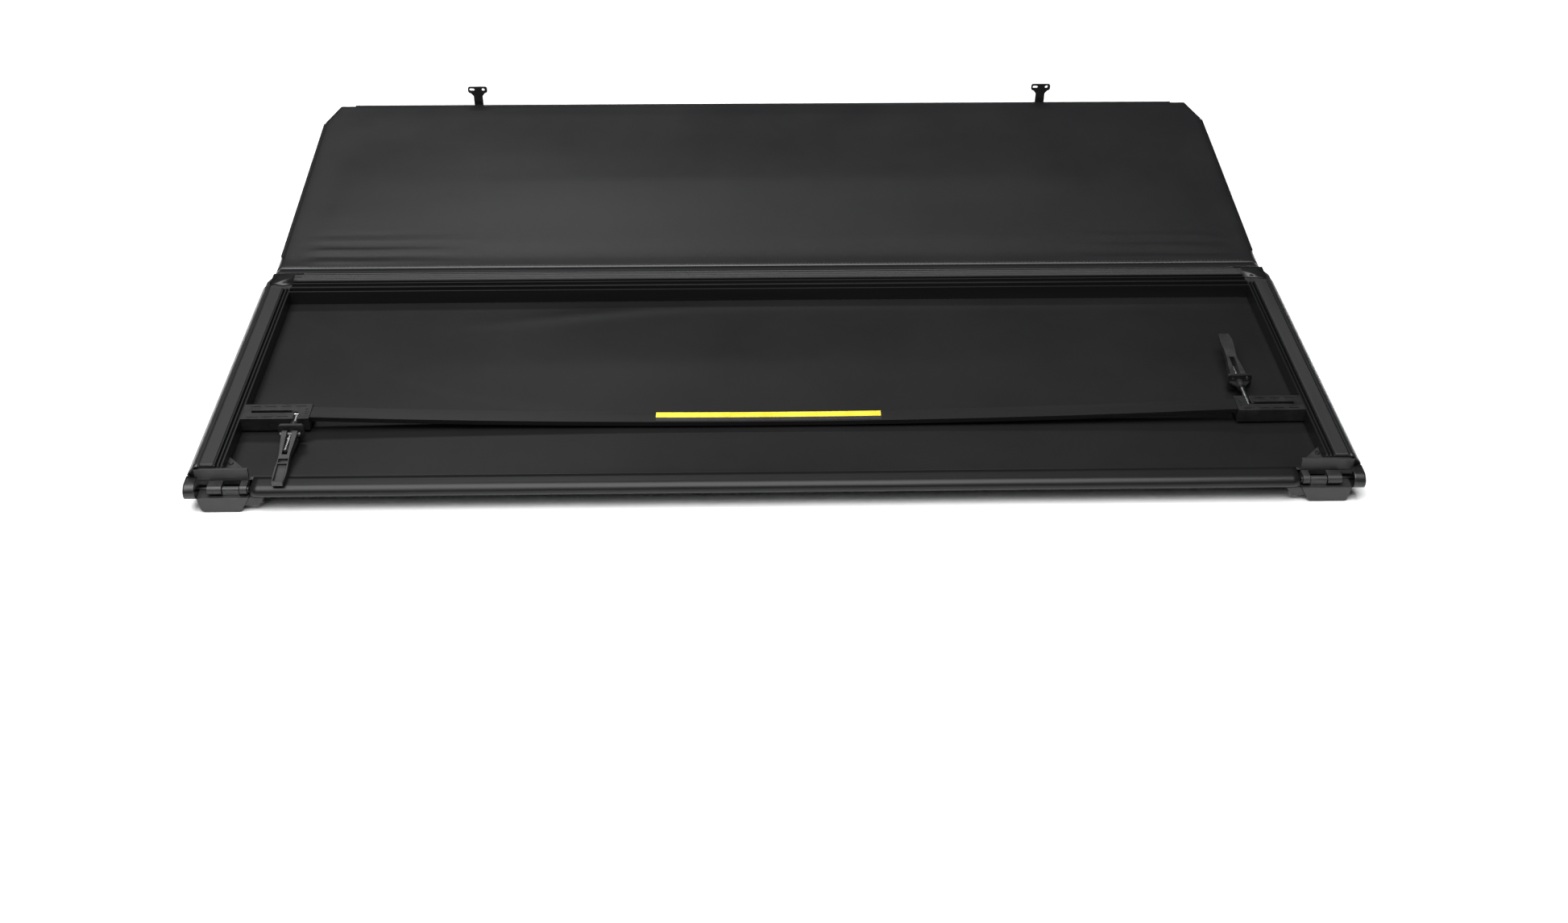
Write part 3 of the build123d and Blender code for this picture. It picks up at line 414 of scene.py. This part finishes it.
def middle_rise(x, y):
    """Height of the middle panel's vinyl over its rails."""
    held = tent(y, middle_bow_y, MIDDLE_START, link_point.y)
    return MIDDLE_RISE * crown(x) * held * inside(x, y, MIDDLE_START - 0.04, link_point.y)


work = panel_sheet(MIDDLE_START, link_middle, 0, None)
for vert in work.verts:
    if vert.co.z > FACE_Z - 1e-6:
        vert.co.z += middle_rise(vert.co.x, vert.co.y)
middle_vinyl = piece("middle_vinyl", work, vinyl_face, vinyl_back)
sheet_finish(middle_vinyl)
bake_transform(middle_vinyl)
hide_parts("middle_skin", "link_vinyl")

# front panel, from half way along the link to the cab edge
def turned_about(point, angle):
    """Turn about the x axis through a point."""
    return Matrix.Translation(point) @ Matrix.Rotation(angle, 4, "X") @ Matrix.Translation(-point)


front_over = turned_about(front_point, -front_turn)
FRONT_END = max((front_over @ corner.co).y for corner in frame["nodes"]["front_skin"].data.vertices)
FRONT_CUT = (0.017, 0.052)
FRONT_RISE = 0.0085
front_bow_y = (front_over @ (sum(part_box("front_bow"), Vector()) / 2)).y


def front_rise(x, y):
    """Bow ridge, slack near the fold and small pulls at the bevelled corners."""
    spread = inside(x, y, front_point.y, FRONT_END)
    ridge = FRONT_RISE * crown(x) * tent(y, front_bow_y, front_point.y, FRONT_END)
    slack = 0.0009 * noise.noise(Vector((x * 2.2, y * 9.0, 3.7)))
    near_fold = smooth((front_point.y + 0.10 - y) / 0.08) * smooth((abs(x) - 0.45) / 0.3)
    wander = 2 * noise.noise(Vector((x * 6, y * 6, 1)))
    pulls = 0.0016 * near_fold * math.sin((y - front_point.y) * 190 + 5 * abs(x) + wander)
    corner = smooth((y - FRONT_END + 0.11) / 0.09) * smooth((abs(x) - HALF_WIDTH + 0.13) / 0.1)
    crease = 0.0010 * corner * math.sin((abs(x) * 1.2 - y) * 230)
    return spread * (ridge + slack) + pulls * inside(x, y, front_point.y - 0.05, FRONT_END) + crease


work = panel_sheet(link_middle, FRONT_END, 1, FRONT_CUT)
for vert in work.verts:
    if vert.co.z > FACE_Z - 1e-6:
        vert.co.z += front_rise(vert.co.x, vert.co.y)
for vert in work.verts:
    share = smooth((vert.co.y - front_point.y + BEND) / (2 * BEND))
    vert.co = front_point + Matrix.Rotation(front_turn * share, 3, "X") @ (vert.co - front_point)
front_vinyl = piece("front_vinyl", work, vinyl_face, vinyl_back)
sheet_finish(front_vinyl)
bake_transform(front_vinyl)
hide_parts("front_skin", "front_skirt")

# tail panel: made in the open cover, then folded over the middle panel
TAIL_END = 2 * fold_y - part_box("tail_skin")[1].y
TAIL_START = 2 * fold_y - MIDDLE_START
TAIL_CUT = (0.012, 0.030)
TAIL_RISE = 0.0035
SHEETS_APART = 0.0012
SOFT_REST = 0.0015
tail_bow_y = 2 * fold_y - sum(corner.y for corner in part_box("tail_bow")) / 2
fold_over = turned_about(fold_point, tail_turn)


def tail_drop(x, y):
    """How far the tail vinyl stands out from its panel: bow, slack and one long pull."""
    spread = inside(x, y, TAIL_END + 0.05, TAIL_START + 0.03)
    ridge = TAIL_RISE * crown(x) * tent(y, tail_bow_y, TAIL_END + 0.06, TAIL_START)
    slack = 0.0011 * noise.noise(Vector((x * 1.9, y * 7.0, 8.1)))
    pull_y = TAIL_END + 0.085 + 0.075 * smooth((0.1 - x) / 0.75) ** 1.5
    pull = -0.0022 * math.exp(-(((y - pull_y) / 0.016) ** 2)) * smooth((x + 0.55) / 0.3)
    return spread * (ridge + slack + pull)


work = panel_sheet(TAIL_END, TAIL_START, -1, TAIL_CUT)
for vert in work.verts:
    if vert.co.z > FACE_Z - 1e-6:
        vert.co.z += tail_drop(vert.co.x, vert.co.y)
        folded = fold_over @ vert.co
        lowest = FACE_Z + SHEETS_APART + middle_rise(folded.x, folded.y)
        if folded.z < lowest + 2 * SOFT_REST:
            vert.co.z -= SOFT_REST * math.log1p(math.exp((lowest - folded.z) / SOFT_REST))
bmesh.ops.transform(work, matrix=fold_over, verts=work.verts)
tail_vinyl = piece("tail_vinyl", work, vinyl_face, vinyl_back)
sheet_finish(tail_vinyl)
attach(tail_vinyl, "tail_panel")
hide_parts("tail_skin")

# ---- vinyl roll at the fold ----
# Between the hinges the sheet leaves the middle panel, turns over in a loose roll and comes back
# as the tail panel. Outside the hinges a narrow strip of it does the same round the hinge block.
ROLL_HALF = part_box("fold_vinyl")[1].x
ROLL_FACE = fold_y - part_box("fold_vinyl")[0].y
ROLL_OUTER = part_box("fold_vinyl")[1].z - fold_point.z
ROLL_SEGMENTS = 24


def roll_strip(x_low, x_high, reach, radius, step, bulge):
    """Half-round strip of vinyl about the fold axis; bulge rounds it towards its outer side."""
    work = bmesh.new()
    across = max(4, round((x_high - x_low) / step))
    bmesh.ops.create_grid(work, x_segments=across, y_segments=ROLL_SEGMENTS, size=0.5)
    bmesh.ops.scale(work, vec=(x_high - x_low, 1, 1), verts=work.verts)
    bmesh.ops.translate(work, vec=((x_low + x_high) / 2, 0.5, 0), verts=work.verts)
    lead = 0.10
    straight = ROLL_FACE + 0.004
    for vert in work.verts:
        x, share = vert.co.x, vert.co.y
        if share < lead or share > 1 - lead:
            side = -1 if share < lead else 1
            gone = (lead - share if side < 0 else share - 1 + lead) / lead
            y, z = gone * straight, side * radius
        else:
            turn = math.pi * (share - lead) / (1 - 2 * lead)
            y, z = -reach * math.sin(turn), -radius * math.cos(turn)
        puff = 0.0003 * noise.noise(Vector((x * 11, y * 40, z * 60)))
        swell = 1 + bulge * (x - x_low) / (x_high - x_low) if bulge else 1.0
        vert.co = Vector((x, fold_y + (y + (puff if y < 0 else 0)) * swell, fold_point.z + z))
    return work


work = roll_strip(-ROLL_HALF, ROLL_HALF, ROLL_FACE, ROLL_OUTER, 0.009, 0)
bmesh.ops.reverse_faces(work, faces=work.faces)
fold_roll = piece("fold_roll", work, vinyl_face, vinyl_back)
sheet_finish(fold_roll)
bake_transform(fold_roll)
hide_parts("fold_vinyl")

STRIP_IN = HALF_WIDTH - 0.0125
STRIP_OUT = HALF_WIDTH + 0.003
for side, word in ((-1, "left"), (1, "right")):
    work = roll_strip(STRIP_IN, STRIP_OUT, reach=0.013, radius=0.0120, step=0.002, bulge=0.06)
    if side < 0:
        bmesh.ops.mirror(work, geom=[*work.verts, *work.edges, *work.faces], axis="X", merge_dist=-1)
        gone = [vert for vert in work.verts if vert.co.x > 0]
        bmesh.ops.delete(work, geom=gone, context="VERTS")
    bmesh.ops.recalc_face_normals(work, faces=work.faces)
    loop = piece(f"{word}_fold_edge", work, vinyl_face, vinyl_back)
    sheet_finish(loop)
    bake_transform(loop)

# ---- rails and bows ----
# Aluminium extrusions and flat bars, powder coated satin black. Faint die lines run along them,
# so the coat's grain is drawn out one way on side rails and the other way on cross rails and bows.
COAT_DARK = (0.005, 0.005, 0.0052)
COAT_LIGHT = (0.008, 0.008, 0.0082)


def rail_coat(name, stretch):
    """Powder coat with its grain drawn out along the rail."""
    return finish(
        name,
        COAT_DARK,
        COAT_LIGHT,
        rough=(0.28, 0.40),
        patch=30.0,
        grain=1400.0,
        depth=0.00003,
        fine=0.8,
        stretch=stretch,
        specular=0.35,
    )


rail_along_y = rail_coat("rail_side", (1, 0.04, 1))
rail_along_x = rail_coat("rail_cross", (0.04, 1, 1))


def paint(material, *nodes):
    """Gives CAD nodes their finish."""
    for node in nodes:
        for one in frame["nodes"][node].material_slots:
            one.link = "OBJECT"
            one.material = material


for panel in ("middle", "tail", "front"):
    paint(rail_along_y, f"{panel}_left_rail", f"{panel}_right_rail")
    paint(rail_along_x, f"{panel}_bow")
paint(rail_along_x, "front_header_rail", "tail_cross_rail")


# ---- edges broken on the hard parts ----
# Every moulded, pressed or turned part gets the small round that its tool leaves on each edge.
# A copy of the part is rounded and shown in the part's place.
SHARP_BEND = 32


def merged(node):
    """One closed mesh of a CAD node, with its flat faces whole."""
    work = bmesh.new()
    work.from_mesh(frame["nodes"][node].data)
    bmesh.ops.transform(work, matrix=frame["nodes"][node].matrix_world, verts=work.verts)
    bmesh.ops.remove_doubles(work, verts=work.verts, dist=1e-5)
    bmesh.ops.dissolve_limit(work, angle_limit=math.radians(1), verts=work.verts, edges=work.edges)
    return work


def rounded(node, radius, material):
    """Copy of a CAD node with its sharp edges rounded; it takes the node's place."""
    work = merged(node)
    bend = math.radians(SHARP_BEND)
    sharp = [edge for edge in work.edges if edge.is_manifold and edge.calc_face_angle(0) > bend]
    bmesh.ops.bevel(
        work, geom=sharp, offset=radius, segments=2, profile=0.6, affect="EDGES", clamp_overlap=True
    )
    made = piece(f"{node}_body", work, material)
    for face in made.data.polygons:
        face.use_smooth = True
    made.data.set_sharp_from_angle(angle=math.radians(50))
    made.modifiers.new("even_shading", "WEIGHTED_NORMAL").keep_sharp = True
    bodies = frame["record"]["behaviour"]["bodies"]
    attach(made, next(name for name, nodes in bodies.items() if node in nodes))
    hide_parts(node)
    return made


# ---- moulded corners, sockets, ears and hinge blocks ----
# Glass-filled nylon, moulded black and fixed to the rails' ends and sides. Its fine spark-eroded
# texture has slightly glossier rubbed spots.
moulding = finish(
    "moulding",
    (0.010, 0.010, 0.0105),
    (0.016, 0.016, 0.0165),
    rough=(0.42, 0.60),
    patch=60.0,
    grain=3200.0,
    depth=0.00004,
)
for node in (
    "tail_corners",
    "front_corners",
    "front_bow_sockets",
    "middle_bow_sockets",
    "middle_side_lugs",
    "middle_hinge_blocks",
    "tail_hinge_brackets",
    "middle_link_ears",
    "front_link_ears",
    "left_link",
    "right_link",
):
    rounded(node, 0.0007, moulding)

# ---- seals ----
# Extruded rubber pressed on under the rails: matt, with very fine lines along the extrusion.
# The tail edge carries beads.
def rubber(name, stretch):
    """Matt rubber with its fine lines drawn out along the seal."""
    return finish(
        name,
        (0.008, 0.008, 0.008),
        (0.013, 0.013, 0.013),
        rough=(0.50, 0.66),
        patch=25.0,
        grain=1500.0,
        depth=0.00006,
        stretch=stretch,
    )


seal_x = rubber("seal_cross", (0.03, 1, 1))
seal_y = rubber("seal_side", (1, 0.03, 1))
for node in ("middle_side_seals", "tail_side_seals", "front_side_seals"):
    rounded(node, 0.0014, seal_y)
for node in ("tail_edge_seal", "bulkhead_seal"):
    rounded(node, 0.0009, seal_x)

# ---- clamps and hooks ----
# Black coated pressings, screws, pins and barrels, a plastic cam lever, and bright zinc on the
# clamps' bolts and nuts. Pins and barrels keep the zinc slot, though they are shown black.
black_steel = finish(
    "black_steel",
    (0.007, 0.007, 0.007),
    (0.014, 0.014, 0.0142),
    rough=(0.26, 0.42),
    patch=45.0,
    grain=1800.0,
    depth=0.00005,
    fine=0.9,
)
lever_plastic = finish(
    "lever_plastic",
    (0.012, 0.012, 0.0125),
    (0.018, 0.018, 0.0185),
    rough=(0.34, 0.50),
    patch=50.0,
    grain=2600.0,
    depth=0.00004,
)
zinc = finish(
    "zinc",
    (0.50, 0.51, 0.53),
    (0.68, 0.68, 0.66),
    rough=(0.22, 0.40),
    patch=120.0,
    grain=2400.0,
    depth=0.00003,
    fine=0.9,
    metal=1.0,
)
for side in ("left", "right"):
    rounded(f"{side}_clamp_bracket", 0.0006, black_steel)
    rounded(f"{side}_clamp_jaw", 0.0005, black_steel)
    rounded(f"{side}_clamp_lever", 0.0008, lever_plastic)
    rounded(f"{side}_cab_hook", 0.0004, black_steel)
    rounded(f"{side}_clamp_barrel", 0.0004, black_steel)
    rounded(f"{side}_clamp_nut", 0.0004, zinc)
    rounded(f"{side}_clamp_bolt", 0.0002, zinc)
rounded("cab_hook_brackets", 0.0004, black_steel)
for node in ("cab_hook_pins", "fold_pins", "middle_link_pins", "front_link_pins"):
    rounded(node, 0.0003, black_steel)
for node in ("hinge_screws", "tail_corner_screws", "front_corner_screws"):
    rounded(node, 0.0005, black_steel)

# ---- strip on the tail bow ----
# Plain yellow film stuck along the bow, with a plain dark band along one side. It is a little
# soiled and carries no print.
DARK_BAND = (0.02, 0.02, 0.02, 1.0)
BAND_SHARE = 0.4
strip_film = finish(
    "strip_film",
    (0.62, 0.47, 0.03),
    (0.74, 0.58, 0.05),
    rough=(0.22, 0.42),
    patch=40.0,
    grain=1800.0,
    depth=0.00002,
)
strip_low, strip_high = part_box("bow_strip")
tree = strip_film.node_tree
shader = tree.nodes["Principled BSDF"]
film_tint = shader.inputs["Base Color"].links[0].from_socket
where = tree.nodes.new("ShaderNodeTexCoord")
parts = tree.nodes.new("ShaderNodeSeparateXYZ")
band = tree.nodes.new("ShaderNodeMath")
band.operation = "LESS_THAN"
band.inputs[1].default_value = strip_low.y + BAND_SHARE * (strip_high.y - strip_low.y)
banded = tree.nodes.new("ShaderNodeMix")
banded.data_type = "RGBA"
banded.inputs["B"].default_value = DARK_BAND
tree.links.new(where.outputs["Object"], parts.inputs[0])
tree.links.new(parts.outputs["Y"], band.inputs[0])
tree.links.new(band.outputs[0], banded.inputs["Factor"])
tree.links.new(film_tint, banded.inputs["A"])
tree.links.new(banded.outputs["Result"], shader.inputs["Base Color"])
paint(strip_film, "bow_strip")

# ---- spline in the tail's cross rail ----
# An assumed ribbed rubber spline beside the tucked hem, in the rail's wide groove. Its section
# is written in the open cover: y in from the tail edge, z over the seal face.
SPLINE_RIBS = 4
RIB_STEPS = 8
SPLINE_DEEP = 0.0035
RIB_HIGH = 0.0022
SPLINE_BACK = 0.004
SPLINE_START = TUCK - 0.001
SPLINE_END = 0.0365
profile = []
for i in range(SPLINE_RIBS * RIB_STEPS + 1):
    share = i / (SPLINE_RIBS * RIB_STEPS)
    rib = abs(math.sin(math.pi * share * SPLINE_RIBS)) ** 0.5
    profile.append((SPLINE_START + share * (SPLINE_END - SPLINE_START), SPLINE_DEEP - RIB_HIGH * rib))
profile += [(SPLINE_END, SPLINE_DEEP + SPLINE_BACK), (SPLINE_START, SPLINE_DEEP + SPLINE_BACK)]
work = bmesh.new()
ends = []
reach = HALF_WIDTH - 0.056
for x in (-reach, reach):
    ends.append([work.verts.new((x, TAIL_END + y, UNDER_Z + z)) for y, z in profile])
for i in range(len(profile)):
    j = (i + 1) % len(profile)
    work.faces.new((ends[0][i], ends[0][j], ends[1][j], ends[1][i]))
work.faces.new(ends[0])
work.faces.new(list(reversed(ends[1])))
bmesh.ops.recalc_face_normals(work, faces=work.faces)
bmesh.ops.transform(work, matrix=fold_over, verts=work.verts)
spline = piece("tail_spline", work, seal_x)
for face in spline.data.polygons:
    face.use_smooth = len(face.vertices) == 4
spline.data.set_sharp_from_angle(angle=math.radians(50))
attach(spline, "tail_panel")

# ---- spare cloth at the tail corners ----
# Where the sheet is folded round the corners its spare cloth lies flat under the rails. It is
# trimmed after folding, roughly on the left side.
FLAP_TEETH = 7
FLAP_IN = TUCK - 0.002
FLAP_OUT = 0.062
for side, word, ragged in ((-1, "left", 0.0055), (1, "right", 0.0008)):
    work = bmesh.new()
    outline = [(FLAP_IN, FLAP_IN), (FLAP_OUT, FLAP_IN)]
    for i in range(1, FLAP_TEETH + 1):
        wander = ragged * (1 if i % 2 else -1) + ragged * 0.6 * noise.noise(Vector((i * 1.7, 2.3, 0)))
        outline.append((FLAP_OUT - 0.0015 * i + wander, TUCK + 0.0042 * i))
    outline += [(0.034, 0.047 + ragged), (0.022, 0.052 - ragged), (FLAP_IN, 0.050)]
    work.faces.new(
        [work.verts.new((side * (HALF_WIDTH - a), TAIL_END + b, UNDER_Z)) for a, b in outline]
    )
    work.normal_update()
    if work.faces[:][0].normal.z > 0:
        bmesh.ops.reverse_faces(work, faces=work.faces)
    bmesh.ops.transform(work, matrix=fold_over, verts=work.verts)
    flap = piece(f"{word}_corner_flap", work, vinyl_face, vinyl_back)
    sheet_finish(flap)
    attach(flap, "tail_panel")

# ---- stitches along the tail hem ----
# The tucked edge is sewn with black polyester thread, in a row of short stitches along the
# folded vinyl.
STITCH_PITCH = 0.006
STITCH_LEN = 0.0042
STITCH_R = 0.00045
STITCH_FROM_SIDE = 0.045
thread = finish(
    "thread",
    (0.03, 0.03, 0.03),
    (0.05, 0.05, 0.05),
    rough=(0.7, 0.85),
    patch=200.0,
    grain=4000.0,
    depth=0.00005,
)
hem_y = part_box("tail_skin")[1].y - TUCK + 0.004
hem_z = 2 * fold_point.z - UNDER_Z
stitch_shape = Matrix.Diagonal((STITCH_LEN / 2, STITCH_R, STITCH_R, 1))
work = bmesh.new()
for i in range(round(2 * (HALF_WIDTH - STITCH_FROM_SIDE) / STITCH_PITCH)):
    x = -HALF_WIDTH + STITCH_FROM_SIDE + (i + 0.5) * STITCH_PITCH
    place = Matrix.Translation((x, hem_y, hem_z - 0.0001))
    bmesh.ops.create_uvsphere(
        work, u_segments=6, v_segments=4, radius=1.0, matrix=place @ stitch_shape
    )
stitches = piece("tail_stitches", work, thread)
for face in stitches.data.polygons:
    face.use_smooth = True
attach(stitches, "tail_panel")
